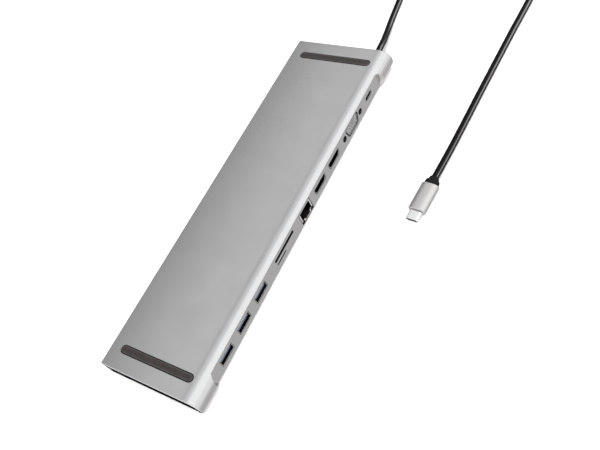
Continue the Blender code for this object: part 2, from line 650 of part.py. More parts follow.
def on_plug(obj):
    obj.location = Vector((PLUG_X, PLUG_Y, PLUG_Z)) * MM
    obj.rotation_euler = (0.0, 0.0, PLUG_TURN)
    return obj


def build_plug(aluminium, rubber, steel):
    """USB-C plug of the lead, modelled about its own middle, with the lead towards its +X."""
    body = [(-PLUG_HALF, 0.35), (-PLUG_HALF + 0.35, 0.0), (PLUG_HALF - 0.35, 0.0), (PLUG_HALF, 0.35)]
    bm = bmesh.new()
    skin(bm, [place(rounded(0.0, 0.0, PLUG_WIDTH - 2 * grow, PLUG_THICK - 2 * grow,
                            2.9 - grow, 4), "X", x) for x, grow in body])
    smooth(on_plug(add_mesh("plug_body", bm, aluminium)))
    start = PLUG_HALF + GAP
    collar = ((start, 9.6, 5.7), (start + 2.2, 9.3, 5.6), (start + 3.6, 6.8, 5.3),
              (start + COLLAR_LENGTH, 5.8, 5.0))
    bm = bmesh.new()
    skin(bm, [place(rounded(0.0, 0.0, width, height, 2.4, 4), "X", x) for x, width, height in collar])
    smooth(on_plug(add_mesh("plug_collar", bm, rubber)))
    tip_end = -PLUG_HALF - GAP
    bm = bmesh.new()
    tip = ((tip_end - TIP_LENGTH, 0.15), (tip_end - TIP_LENGTH + 0.2, 0.0), (tip_end, 0.0))
    skin(bm, [place(rounded(0.0, 0.0, 8.3 - 2 * grow, 2.5 - 2 * grow, 1.24 - grow, 5), "X", x)
              for x, grow in tip])
    shell = add_mesh("plug_tip", bm, steel)
    bm = bmesh.new()
    add_prism(bm, rounded(0.0, 0.0, 7.7, 1.9, 0.94, 5), "X", tip_end - TIP_LENGTH - 2.0, tip_end - 1.0)
    bore = on_plug(add_mesh("cut_plug_tip", bm, None))
    on_plug(shell)
    combine(shell, bore)
    smooth(shell)


# ---------------------------------------------------------------- assembly

def main():
    clear_scene()
    aluminium = make_material("anodised_aluminium", (0.62, 0.63, 0.64), 0.35, 1.0)
    black = make_material("black_plastic", (0.02, 0.02, 0.022), 0.5)
    rubber = make_material("grey_rubber", (0.055, 0.05, 0.052), 0.8)
    steel = make_material("plated_steel", (0.7, 0.7, 0.7), 0.3, 1.0)
    tongue = make_material("blue_grey_plastic", (0.16, 0.2, 0.3), 0.5)
    dark = make_material("dark_plastic", (0.015, 0.015, 0.016), 0.55)
    grey = make_material("grey_plastic", (0.42, 0.42, 0.42), 0.5)
    brass = make_material("gold_contact", (0.8, 0.6, 0.25), 0.3, 1.0)
    board = make_material("board_laminate", (0.02, 0.12, 0.06), 0.5)
    chip = make_material("chip_epoxy", (0.03, 0.03, 0.03), 0.6)
    pad = make_material("thermal_silicone", (0.45, 0.5, 0.55), 0.8)
    jacket = make_material("lead_jacket", (0.012, 0.012, 0.012), 0.3)
    build_housing(aluminium)
    build_base(black)
    build_end_plates(black)
    build_end_screws(steel)
    build_rubber(rubber)
    build_usb_a(steel, tongue)
    build_hdmi(steel, dark)
    build_usb_c(steel, dark)
    build_card_sockets(steel, dark)
    build_network_socket(steel, dark, brass)
    build_vga(steel, grey)
    build_board(board)
    build_board_screws(steel)
    build_electronics(chip, aluminium, pad, dark, dark)
    build_lead(rubber, jacket)
    build_plug(aluminium, rubber, steel)


main()
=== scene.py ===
import json
import math

import bmesh
import bpy
from mathutils import Matrix, Vector


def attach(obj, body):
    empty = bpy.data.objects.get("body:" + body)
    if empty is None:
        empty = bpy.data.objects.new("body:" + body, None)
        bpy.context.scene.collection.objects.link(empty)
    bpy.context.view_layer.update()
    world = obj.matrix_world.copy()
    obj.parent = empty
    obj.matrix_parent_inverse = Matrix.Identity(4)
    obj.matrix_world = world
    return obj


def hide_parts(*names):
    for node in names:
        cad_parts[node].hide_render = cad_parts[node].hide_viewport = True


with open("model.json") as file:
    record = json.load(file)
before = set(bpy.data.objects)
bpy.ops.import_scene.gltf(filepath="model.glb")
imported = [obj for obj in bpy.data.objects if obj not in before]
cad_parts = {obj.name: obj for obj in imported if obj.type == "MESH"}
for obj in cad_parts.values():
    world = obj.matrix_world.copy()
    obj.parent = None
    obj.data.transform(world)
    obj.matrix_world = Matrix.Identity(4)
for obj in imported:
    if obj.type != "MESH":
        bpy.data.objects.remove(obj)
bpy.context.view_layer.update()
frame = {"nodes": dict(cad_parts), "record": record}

MM = 0.001
HALF_LENGTH, HALF_DEPTH = 139.2, 38.8
SHELL_LOW, SHELL_TOP = 1.3, 16.5
NOSE_RADIUS, NOSE_Z = 7.9, 8.3              # round nose on the port side
NOSE_Y = NOSE_RADIUS - HALF_DEPTH
SHOULDER_RADIUS = 40.0                      # wide arc that eases the flat top into the nose
SHOULDER_Y = NOSE_Y + math.sqrt((SHOULDER_RADIUS - NOSE_RADIUS) ** 2
                                - (SHELL_TOP - SHOULDER_RADIUS - NOSE_Z) ** 2)
SHOULDER_ANGLE = math.degrees(math.asin((SHOULDER_Y - NOSE_Y) / (SHOULDER_RADIUS - NOSE_RADIUS)))
WALL, RIM, END_POCKET = 1.5, 1.0, 2.2
PORT_FACE_Y, PORT_INNER_Y = -35.7, -33.9
PORT_FRONT_Y = PORT_FACE_Y + 0.1
RECESS_HALF, RECESS_TOP, RECESS_RADIUS = 121.9, 15.2, 7.15
REST_X, REST_Y, REST_LENGTH, REST_WIDTH = 125.5, 1.0, 58.8, 6.0
END_SCREWS = ((-35.3, NOSE_Z), (35.4, 8.7))
FOOT_X, FOOT_LENGTH, FOOT_WIDTH = 116.0, 56.0, 12.0
LEAD_Y, LEAD_Z, LEAD_REST_Z = -24.2, 8.3, 2.45      # lead at its exit, and lying on the table
PLUG_X, PLUG_Y, PLUG_Z, PLUG_TURN = 35.3, -104.6, 3.2, -3.5

# ports: middle of each along X and up Z
USB_A_X = (-103.0, -81.2, -59.3)
HDMI_X = (25.0, 46.3)
DATA_Z = 8.75                               # USB-A and HDMI
SD_X, SD_Z = -26.2, 10.6
MICRO_SD_X, MICRO_SD_Z = -32.3, 6.7
NETWORK_X, NETWORK_HALF, NETWORK_TOP = 3.2, 7.1, 12.8
VGA_X, VGA_Z = 76.2, 8.6
JACKS = tuple(VGA_X + side * 12.5 for side in (-1, 1))
USB_C_X, USB_C_Z = 103.05, 9.1


# ---------------------------------------------------------------- camera

def make_camera():
    data = bpy.data.cameras.new("camera")
    data.lens, data.sensor_width, data.sensor_fit = 42.72, 36.0, "HORIZONTAL"
    data.clip_start, data.clip_end = 0.01, 20.0
    camera = bpy.data.objects.new("camera", data)
    right = Vector((0.4452, -0.8345, -0.3247)).normalized()
    forward = Vector((0.3682, 0.5011, -0.7831))
    forward = (forward - right * forward.dot(right)).normalized()
    up = right.cross(forward)
    turn = Matrix((right, up, -forward)).transposed()
    camera.matrix_world = Matrix.Translation(Vector((-176.94, -267.25, 368.4)) * MM) @ turn.to_4x4()
    bpy.context.scene.collection.objects.link(camera)
    bpy.context.scene.camera = camera


# ---------------------------------------------------------------- mesh tools

def skin(bm, rings, slot=0):
    """Closed surface through rings of points, capped at both ends."""
    loops = [[bm.verts.new(Vector(point) * MM) for point in ring] for ring in rings]
    count = len(loops[0])
    for first, second in zip(loops, loops[1:]):
        for i in range(count):
            j = (i + 1) % count
            bm.faces.new((first[i], first[j], second[j], second[i])).material_index = slot
    bm.faces.new(loops[0]).material_index = slot
    bm.faces.new(loops[-1]).material_index = slot


def place(outline, axis, level):
    """Flat outline set at a level of the axis it faces along."""
    if axis == "X":
        return [(level, u, v) for u, v in outline]
    if axis == "Y":
        return [(u, level, v) for u, v in outline]
    return [(u, v, level) for u, v in outline]


def add_prism(bm, outline, axis, low, high):
    skin(bm, [place(outline, axis, low), place(outline, axis, high)])


def add_box(bm, low, high):
    outline = [(low[0], low[1]), (high[0], low[1]), (high[0], high[1]), (low[0], high[1])]
    add_prism(bm, outline, "Z", low[2], high[2])


def arc(u, v, radius, start, end, steps):
    angles = [math.radians(start + (end - start) * i / steps) for i in range(steps + 1)]
    return [(u + radius * math.cos(a), v + radius * math.sin(a)) for a in angles]


def circle(u, v, radius, sides):
    return arc(u, v, radius, 0.0, 360.0, sides)[:-1]


def rounded(u, v, width, height, radius, steps):
    """Rectangle with round corners."""
    du, dv = width / 2 - radius, height / 2 - radius
    outline = []
    for sign_u, sign_v, start in ((1, 1, 0), (-1, 1, 90), (-1, -1, 180), (1, -1, 270)):
        outline += arc(u + sign_u * du, v + sign_v * dv, radius, start, start + 90, steps)
    unique = []
    for point in outline:
        if not unique or math.dist(point, unique[-1]) > 1e-4:
            unique.append(point)
    if math.dist(unique[0], unique[-1]) < 1e-4:
        unique.pop()
    return unique


def link(name, bm, materials=()):
    """Object in the scene made from a finished bmesh."""
    bmesh.ops.recalc_face_normals(bm, faces=bm.faces)
    mesh = bpy.data.meshes.new(name)
    bm.to_mesh(mesh)
    bm.free()
    for material in materials:
        mesh.materials.append(MATERIALS[material])
    obj = bpy.data.objects.new(name, mesh)
    bpy.context.scene.collection.objects.link(obj)
    return obj


def bake(obj):
    """Applies an object's modifiers to its mesh."""
    bpy.context.view_layer.update()
    graph = bpy.context.evaluated_depsgraph_get()
    mesh = bpy.data.meshes.new_from_object(obj.evaluated_get(graph))
    old = obj.data
    obj.modifiers.clear()
    obj.data = mesh
    bpy.data.meshes.remove(old)


def boolean(obj, adders, operation="DIFFERENCE", material=None):
    """Cuts or joins shapes made by adders that stand clear of each other."""
    bm = bmesh.new()
    for adder in adders:
        adder(bm)
    tool = link("tool", bm, (material,) if material else ())
    modifier = obj.modifiers.new("boolean", "BOOLEAN")
    modifier.operation, modifier.solver, modifier.object = operation, "EXACT", tool
    bake(obj)
    bpy.data.objects.remove(tool)


def soften(obj, width, segments):
    """Rounds the sharp edges."""
    modifier = obj.modifiers.new("bevel", "BEVEL")
    modifier.width, modifier.segments = width * MM, segments
    modifier.limit_method, modifier.angle_limit = "ANGLE", math.radians(35.0)
    modifier.harden_normals = False
    bake(obj)


def piece(obj, nodes, material=None, angle=35.0):
    """Rides on the dock, stands for its CAD nodes, and gets its material and shading."""
    if material:
        obj.data.materials.clear()
        obj.data.materials.append(MATERIALS[material])
    obj.data.shade_smooth()
    obj.data.set_sharp_from_angle(angle=math.radians(angle))
    modifier = obj.modifiers.new("weighted", "WEIGHTED_NORMAL")
    modifier.keep_sharp = True
    bake(obj)
    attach(obj, "root")
    if nodes:
        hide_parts(*nodes)
    return obj


# ---------------------------------------------------------------- materials

MATERIALS = {}


class Nodes:
    """Short hand for building one material's node tree; the material is kept under its name."""

    def __init__(self, name, colour, roughness, metallic=0.0):
        MATERIALS[name] = bpy.data.materials.new(name)
        MATERIALS[name].use_nodes = True
        self.tree = MATERIALS[name].node_tree
        self.shader = self.tree.nodes["Principled BSDF"]
        self.shader.inputs["Base Color"].default_value = (*colour, 1.0)
        self.shader.inputs["Roughness"].default_value = roughness
        self.shader.inputs["Metallic"].default_value = metallic
        self.colour = colour
        self.place = self.add("ShaderNodeTexCoord").outputs["Object"]

    def add(self, kind, **settings):
        node = self.tree.nodes.new(kind)
        for key, value in settings.items():
            setattr(node, key, value)
        return node

    def join(self, a, b):
        self.tree.links.new(a, b)

    def noise(self, scale, detail=3.0, stretch=(1.0, 1.0, 1.0)):
        mapping = self.add("ShaderNodeMapping")
        mapping.inputs["Scale"].default_value = stretch
        self.join(self.place, mapping.inputs["Vector"])
        noise = self.add("ShaderNodeTexNoise")
        noise.inputs["Scale"].default_value = scale
        noise.inputs["Detail"].default_value = detail
        noise.inputs["Roughness"].default_value = 0.55
        self.join(mapping.outputs["Vector"], noise.inputs["Vector"])
        return noise.outputs["Fac"]

    def tint(self, value, dark, light):
        """Base colour between two multiples of the material's colour, following a value."""
        ramp = self.add("ShaderNodeValToRGB")
        ramp.color_ramp.elements[0].position, ramp.color_ramp.elements[1].position = 0.3, 0.7
        ramp.color_ramp.elements[0].color = (*[c * dark for c in self.colour], 1.0)
        ramp.color_ramp.elements[1].color = (*[min(c * light, 1.0) for c in self.colour], 1.0)
        self.join(value, ramp.inputs["Fac"])
        self.join(ramp.outputs["Color"], self.shader.inputs["Base Color"])

    def rough(self, value, low, high):
        """Roughness between two amounts, following a value."""
        node = self.add("ShaderNodeMapRange")
        self.join(value, node.inputs["Value"])
        for key, number in (("From Min", 0.3), ("From Max", 0.7), ("To Min", low), ("To Max", high)):
            node.inputs[key].default_value = number
        self.join(node.outputs["Result"], self.shader.inputs["Roughness"])

    def bump(self, value, strength, distance):
        node = self.add("ShaderNodeBump")
        node.inputs["Strength"].default_value = strength
        node.inputs["Distance"].default_value = distance
        self.join(value, node.inputs["Height"])
        self.join(node.outputs["Normal"], self.shader.inputs["Normal"])


def anodised(name, colour, roughness):
    """Bead-blasted and anodised aluminium: faint mottling of colour and gloss."""
    m = Nodes(name, colour, roughness, 1.0)
    m.tint(m.noise(45.0, 4.0), 0.985, 1.015)
    m.rough(m.noise(60.0, 3.0), roughness - 0.015, roughness + 0.015)


def plated(name, colour, roughness):
    """Stamped and plated steel: streaks along the sheet, slightly uneven gloss."""
    m = Nodes(name, colour, roughness, 1.0)
    m.tint(m.noise(700.0, 4.0, (0.25, 1.0, 2.5)), 0.86, 1.06)
    m.rough(m.noise(350.0, 3.0), roughness - 0.06, roughness + 0.1)
    m.bump(m.noise(1500.0, 3.0, (0.2, 1.0, 3.0)), 0.12, 0.00004)


def moulded(name, colour, roughness, gloss=0.4):
    """Moulded plastic with a spark-eroded grain."""
    m = Nodes(name, colour, roughness)
    m.shader.inputs["Specular IOR Level"].default_value = gloss
    m.tint(m.noise(420.0, 4.0), 0.82, 1.2)
    m.rough(m.noise(180.0, 3.0), roughness - 0.05, roughness + 0.07)
    m.bump(m.noise(2600.0, 3.0), 0.16, 0.00005)


def rubbery(name, colour, roughness):
    """Rubber with a fine matt grain."""
    m = Nodes(name, colour, roughness)
    m.shader.inputs["Specular IOR Level"].default_value = 0.2
    m.tint(m.noise(300.0, 5.0), 0.85, 1.15)
    m.rough(m.noise(500.0, 3.0), roughness - 0.06, roughness + 0.06)
    m.bump(m.noise(3400.0, 4.0), 0.3, 0.00006)


def laminate(name, colour):
    """Circuit board: solder mask over copper traces, with rows of pale pads."""
    m = Nodes(name, colour, 0.35)
    brick = m.add("ShaderNodeTexBrick")
    brick.inputs["Scale"].default_value = 260.0
    brick.inputs["Mortar Size"].default_value = 0.03
    brick.inputs["Color1"].default_value = (*colour, 1.0)
    brick.inputs["Color2"].default_value = (colour[0] * 0.7, colour[1] * 0.75, colour[2] * 0.7, 1.0)
    brick.inputs["Mortar"].default_value = (0.05, 0.2, 0.09, 1.0)
    m.join(m.place, brick.inputs["Vector"])
    m.join(brick.outputs["Color"], m.shader.inputs["Base Color"])
    m.rough(m.noise(300.0, 3.0), 0.28, 0.42)
    m.bump(brick.outputs["Fac"], 0.2, 0.00003)


def glossy_jacket(name, colour):
    """Smooth soft sheath of the lead."""
    m = Nodes(name, colour, 0.22)
    m.shader.inputs["Specular IOR Level"].default_value = 0.07
    m.tint(m.noise(150.0, 4.0), 0.8, 1.25)
    m.rough(m.noise(120.0, 4.0), 0.19, 0.25)
    m.bump(m.noise(900.0, 3.0), 0.10, 0.00006)


def make_materials():
    anodised("anodised_aluminium", (0.50, 0.503, 0.506), 0.25)
    # warmer tone for the machined port face, and a far lighter base than the top's metal: painted light,
    # making up for the dim table the port face reflects
    anodised("recess_aluminium_painted_light", (0.87, 0.845, 0.81), 0.32)
    # non-metal copy of the aluminium that the diffuse-only overhead fill lights: painted light for the
    # recess's shaded far end wall
    moulded("end_wall_painted_light", (0.44, 0.435, 0.425), 0.55)
    anodised("polished_edge", (0.86, 0.86, 0.87), 0.2)
    anodised("plug_aluminium", (0.52, 0.515, 0.51), 0.42)
    moulded("black_plastic", (0.007, 0.007, 0.0075), 0.6, gloss=0.08)
    moulded("matt_black_and_painted_shade", (0.003, 0.003, 0.0035), 0.9, gloss=0.0)
    moulded("dark_plastic", (0.008, 0.008, 0.009), 0.6, gloss=0.12)
    moulded("blue_grey_plastic", (0.075, 0.1, 0.155), 0.5)
    moulded("grey_plastic", (0.19, 0.19, 0.19), 0.5)
    moulded("chip_epoxy", (0.03, 0.03, 0.03), 0.6)
    rubbery("grey_rubber", (0.026, 0.0225, 0.0215), 0.75)
    # lighter rubber for the strips' rims: painted highlight
    rubbery("rubber_rim_painted_highlight", (0.055, 0.05, 0.047), 0.6)
    rubbery("thermal_silicone", (0.45, 0.5, 0.55), 0.8)
    plated("plated_steel", (0.72, 0.72, 0.72), 0.27)
    plated("gold_contact", (0.83, 0.62, 0.28), 0.28)
    laminate("board_laminate", (0.02, 0.12, 0.06))
    glossy_jacket("lead_jacket", (0.0025, 0.002, 0.002))
    # dark steel: painted shade inside the connector sleeves, also used for the VGA jack nuts
    plated("dark_steel_and_painted_shade", (0.07, 0.07, 0.075), 0.35)
    # dark steel for the VGA flange: painted shade in the gap behind the wall
    plated("flange_painted_shade", (0.035, 0.035, 0.036), 0.4)


# ---------------------------------------------------------------- housing

def bar_outline(inset=0.0, low=None):
    """End view of the bar in (y, z): square back, flat top, easy shoulder, round nose on the port side."""
    low = SHELL_LOW + inset if low is None else low
    back, top = HALF_DEPTH - inset, SHELL_TOP - inset
    nose = NOSE_RADIUS - inset
    level = max(low, SHELL_LOW + min(inset, 0.5))
    last = 180.0 + math.degrees(math.asin(min((NOSE_Z - level) / nose, 1.0)))
    corner = max(0.9 - inset, 0.1)
    outline = [(back, low)]
    outline += arc(back - corner, top - corner, corner, 0.0, 90.0, 8)
    outline += arc(SHOULDER_Y, SHELL_TOP - SHOULDER_RADIUS, SHOULDER_RADIUS - inset,
                   90.0, 90.0 + SHOULDER_ANGLE, 8)
    outline += arc(NOSE_Y, NOSE_Z, nose, 90.0 + SHOULDER_ANGLE, last, 56)[1:]
    if low < level - 0.01:
        outline.append((outline[-1][0], low))
    return outline


def cavity_outline():
    """End view of the hollow, with the rib on the back wall and the port wall in front."""
    front_z = NOSE_Z + math.sqrt((NOSE_RADIUS - WALL) ** 2 - (PORT_INNER_Y - NOSE_Y) ** 2)
    turn = math.degrees(math.atan2(front_z - NOSE_Z, PORT_INNER_Y - NOSE_Y))
    outline = [(-32.0, -1.0), (35.2, -1.0), (35.2, 2.1), (37.3, 2.1), (37.3, 6.6), (33.3, 6.6)]
    outline += [(33.3, 10.8), (37.3, 10.8), (37.3, 15.0)]
    outline += arc(NOSE_Y, NOSE_Z, NOSE_RADIUS - WALL, 90.0, turn, 10)
    outline += [(PORT_INNER_Y, 2.1), (-32.0, 2.1)]
    return outline


def vga_outline(width, height, radius):
    """D shape, narrower below, with round corners."""
    lean = math.tan(math.radians(10.0)) * height
    outline = []
    for sign_x, sign_z, start in ((1, 1, 0), (-1, 1, 90), (-1, -1, 180), (1, -1, 270)):
        reach = width / 2 - (0.0 if sign_z > 0 else lean) - radius
        outline += arc(VGA_X + sign_x * reach, VGA_Z + sign_z * (height / 2 - radius), radius,
                       start, start + 90, 6)
    return outline


def hdmi_outline(x, width, height):
    """Flat opening whose lower corners are cut off."""
    half, cut = width / 2, 1.7
    high, low = DATA_Z + height / 2, DATA_Z - height / 2
    return [(x - half, high), (x - half, low + cut), (x - half + 0.6, low + cut - 0.5),
            (x - half + cut, low), (x + half - cut, low),
            (x + half - 0.6, low + cut - 0.5), (x + half, low + cut), (x + half, high)]


def network_outline():
    """Stepped face of the network socket, with the latch's part in the middle below."""
    x, half, latch, step, low = NETWORK_X, NETWORK_HALF, 4.3, 4.6, 2.8
    return [(x - half, NETWORK_TOP), (x - half, step), (x - latch, step), (x - latch, low),
            (x + latch, low), (x + latch, step), (x + half, step), (x + half, NETWORK_TOP)]


def port_openings():
    """Outlines in (x, z) through the port wall: those filled by a sleeve, and those with a dark gap, whose
    cut walls get matt black as painted shade.
    """
    plain = [rounded(x, DATA_Z, 14.0, 6.4, 0.5, 4) for x in USB_A_X]
    plain += [hdmi_outline(x, 15.7, 5.7) for x in HDMI_X]
    plain.append(rounded(USB_C_X, USB_C_Z, 9.6, 3.9, 1.94, 10))
    dark = [rounded(SD_X, SD_Z, 24.6, 2.4, 0.6, 4), rounded(MICRO_SD_X, MICRO_SD_Z, 11.5, 1.2, 0.5, 4),
            rounded(NETWORK_X, 7.85, 15.3, 10.9, 0.4, 3), vga_outline(19.0, 8.9, 2.2)]
    dark += [circle(x, VGA_Z, 2.35, 28) for x in JACKS]
    return plain, dark


def chamfer_recess(obj, width):
    """Narrow chamfer where the recess meets the round nose and the flat underside."""
    bm = bmesh.new()
    bm.from_mesh(obj.data)
    rim = []
    for edge in bm.edges:
        if len(edge.link_faces) != 2 or edge.calc_face_angle(0.0) < math.radians(14.0):
            continue
        points = [v.co / MM for v in edge.verts]
        on_nose = all(abs(math.hypot(p.y - NOSE_Y, p.z - NOSE_Z) - NOSE_RADIUS) < 0.02 for p in points)
        inside = all(abs(p.x) < RECESS_HALF + 0.05 and p.y < NOSE_Y - 0.5 for p in points)
        if on_nose and inside:
            rim.append(edge)
    made = bmesh.ops.bevel(bm, geom=rim, offset=width * MM, segments=1, affect="EDGES", profile=0.5,
                           clamp_overlap=True)
    for face in made["faces"]:
        face.material_index = 1
    bm.to_mesh(obj.data)
    bm.free()


def build_housing():
    bm = bmesh.new()
    ends = ((-HALF_LENGTH, 0.42), (-HALF_LENGTH + 0.14, 0.16), (-HALF_LENGTH + 0.42, 0.0),
            (HALF_LENGTH - 0.42, 0.0), (HALF_LENGTH - 0.14, 0.16), (HALF_LENGTH, 0.42))
    skin(bm, [place(bar_outline(inset), "X", x) for x, inset in ends])
    housing = link("housing_shell", bm, ["anodised_aluminium", "polished_edge"])
    recess = rounded(0.0, RECESS_TOP - RECESS_RADIUS, 2 * RECESS_HALF, 2 * RECESS_RADIUS,
                     RECESS_RADIUS - 0.01, 28)
    # the recess's cut faces get the lighter recess metal: painted light on the port face
    boolean(housing, [lambda bm: add_prism(bm, recess, "Y", -60.0, PORT_FACE_Y)],
            material="recess_aluminium_painted_light")
    housing.data.materials.append(MATERIALS["end_wall_painted_light"])
    for face in housing.data.polygons:      # the recess's far end wall: a lighter non-metal copy of the aluminium, painted light on a wall in shade
        if face.normal.x < -0.02 and 0.0 < face.center.x < (RECESS_HALF + 0.5) * MM:
            face.material_index = len(housing.data.materials) - 1
    chamfer_recess(housing, 0.18)
    far, floor_x = HALF_LENGTH + 20.0, HALF_LENGTH - END_POCKET
    boolean(housing, [lambda bm: add_prism(bm, cavity_outline(), "X", -far, far)])
    pocket = bar_outline(RIM, -1.0)
    boolean(housing, [lambda bm: add_prism(bm, pocket, "X", -far, -floor_x),
                      lambda bm: add_prism(bm, pocket, "X", floor_x, far)])
    plain, dark = port_openings()
    # cut walls: the recess metal round the sleeves, and matt black in the dark gaps as painted shade
    for outlines, name in ((plain, "recess_aluminium_painted_light"), (dark, "matt_black_and_painted_shade")):
        boolean(housing, [lambda bm, o=o: add_prism(bm, o, "Y", PORT_FACE_Y - 2.0, PORT_INNER_Y + 1.0)
                          for o in outlines], material=name)
    rest = rounded(0.0, REST_Y, REST_WIDTH, REST_LENGTH, REST_WIDTH / 2 - 0.01, 16)
    boolean(housing, [lambda bm, s=s: add_prism(bm, [(u + s * REST_X, v) for u, v in rest], "Z",
                                                SHELL_TOP - 0.8, 25.0) for s in (-1, 1)])
    boolean(housing, [lambda bm, y=y, z=z, s=s: add_prism(
        bm, circle(y, z, 0.9, 16), "X", *sorted((s * (floor_x - 8.0), s * far)))
        for y, z in END_SCREWS for s in (-1, 1)])
    piece(housing, ["top_housing"], angle=25.0)


def build_end_plates():
    inner, outer = HALF_LENGTH - END_POCKET + 0.3, HALF_LENGTH - 0.2
    for name, side in (("near_end_plate", -1), ("lead_end_plate", 1)):
        bm = bmesh.new()
        rings = ((inner, 1.3), (outer - 0.25, 1.3), (outer - 0.07, 1.37), (outer, 1.55))
        skin(bm, [place(bar_outline(inset, 1.5 + max(inset - 1.3, 0.0)), "X", side * x)
                  for x, inset in rings])
        plate = link(f"{name}_cover", bm)
        for y, z in END_SCREWS:
            steps = ((inner - 1.0, 1.0), (outer - 0.8, 1.0), (outer + 0.1, 1.8), (outer + 2.0, 1.8))
            boolean(plate, [lambda bm: skin(bm, [place(circle(y, z, r, 28), "X", side * x)
                                                 for x, r in steps])])
        if side > 0:
            boolean(plate, [lambda bm: add_prism(bm, circle(LEAD_Y, LEAD_Z, 3.6, 40), "X", 130.0, 145.0)])
        piece(plate, [name], "matt_black_and_painted_shade", 30.0)


def build_end_screws():
    """Countersunk cross-head screws with a rounded rim."""
    top = HALF_LENGTH - 0.3
    for side, label in ((-1, "near"), (1, "lead")):
        for number, (y, z) in enumerate(END_SCREWS, 1):
            steps = ((top - 8.5, 0.5), (top - 8.2, 0.6), (top - 0.7, 0.6), (top - 0.08, 1.32),
                     (top - 0.02, 1.37), (top, 1.3))
            bm = bmesh.new()
            skin(bm, [place(circle(y, z, r, 32), "X", side * x) for x, r in steps])
            screw = link(f"{label}_end_screw_{number}_detail", bm)
            cross = [(0.2, 0.2), (0.9, 0.2), (0.9, -0.2), (0.2, -0.2), (0.2, -0.9), (-0.2, -0.9),
                     (-0.2, -0.2), (-0.9, -0.2), (-0.9, 0.2), (-0.2, 0.2), (-0.2, 0.9), (0.2, 0.9)]
            boolean(screw, [lambda bm: add_prism(bm, [(y + u, z + v) for u, v in cross], "X",
                                                 *sorted((side * (top - 0.45), side * (top + 1.0))))])
            piece(screw, [f"{label}_end_screw_{number}"], "plated_steel")


def build_rubber():
    groove, ring = 0.7, 0.4
    for label, side in (("near", -1), ("lead", 1)):
        def level(z, g):
            width, length = REST_WIDTH - 2 * g, REST_LENGTH - 2 * g
            return place(rounded(side * REST_X, REST_Y, width, length, width / 2 - 0.01, 16), "Z", z)

        bm = bmesh.new()
        top = SHELL_TOP + 0.4
        steps = [(SHELL_TOP - 0.5, groove), (top - 0.2, groove), (top - 0.06, groove + 0.06),
                 (top, groove + 0.2), (top, groove + ring), (top - 0.12, groove + ring + 0.12)]
        skin(bm, [level(z, g) for z, g in steps])
        # faces of the raised rim round the top get a lighter rubber: a painted highlight along the rounded
        # edge
        for face in bm.faces:
            if min(v.co.z for v in face.verts) > (top - 0.22) * MM and len(face.verts) == 4:
                face.material_index = 2
        # a thin matt black sheet on the pocket floor: painted shade in the groove round the strip
        skin(bm, [level(z, g) for z, g in ((SHELL_TOP - 0.75, 0.05), (SHELL_TOP - 0.55, 0.05),
                                           (SHELL_TOP - 0.55, groove))], 1)
        rest = link(f"{label}_rest_strip", bm, ("grey_rubber", "matt_black_and_painted_shade", "rubber_rim_painted_highlight"))
        piece(rest, [f"{label}_rubber_rest"], angle=50.0)
        bm = bmesh.new()
        steps = ((0.0, 0.9), (0.1, 0.6), (0.35, 0.36), (0.7, 0.3), (2.6, 0.3))
        skin(bm, [place(rounded(side * FOOT_X, REST_Y, FOOT_WIDTH - 2 * g, FOOT_LENGTH - 2 * g,
                                FOOT_WIDTH / 2 - g - 0.01, 16), "Z", z) for z, g in steps])
        foot = link(f"{label}_foot_pad", bm)
        boolean(foot, [lambda bm: add_prism(bm, rounded(side * FOOT_X, REST_Y, 0.6, 50.0, 0.29, 4),
                                            "Z", -1.0, 0.25)])
        piece(foot, [f"{label}_foot"], "grey_rubber", 50.0)


# ---------------------------------------------------------------- connectors

def sleeve(name, outline, low, high):
    """Folded sheet sleeve along Y, whose front lip is rounded; outline(g) gives it grown by g."""
    thick = 0.32
    levels = ((0.0, high), (0.0, low + 0.1), (0.03, low + 0.03), (0.1, low), (thick - 0.1, low),
              (thick - 0.03, low + 0.03), (thick, low + 0.1), (thick, high))
    bm = bmesh.new()
    rings = [[bm.verts.new(Vector(p) * MM) for p in place(outline(-g), "Y", y)] for g, y in levels]
    count = len(rings[0])
    # walls inside and out and the back edge get dark steel, painted shade inside the socket; only the
    # rounded front lip is bright plated steel
    for k, (first, second) in enumerate(zip(rings, rings[1:] + rings[:1])):
        for i in range(count):
            j = (i + 1) % count
            bm.faces.new((first[i], first[j], second[j], second[i])).material_index = int(k in (0, 6, 7))
    return link(name, bm, ("plated_steel", "dark_steel_and_painted_shade"))


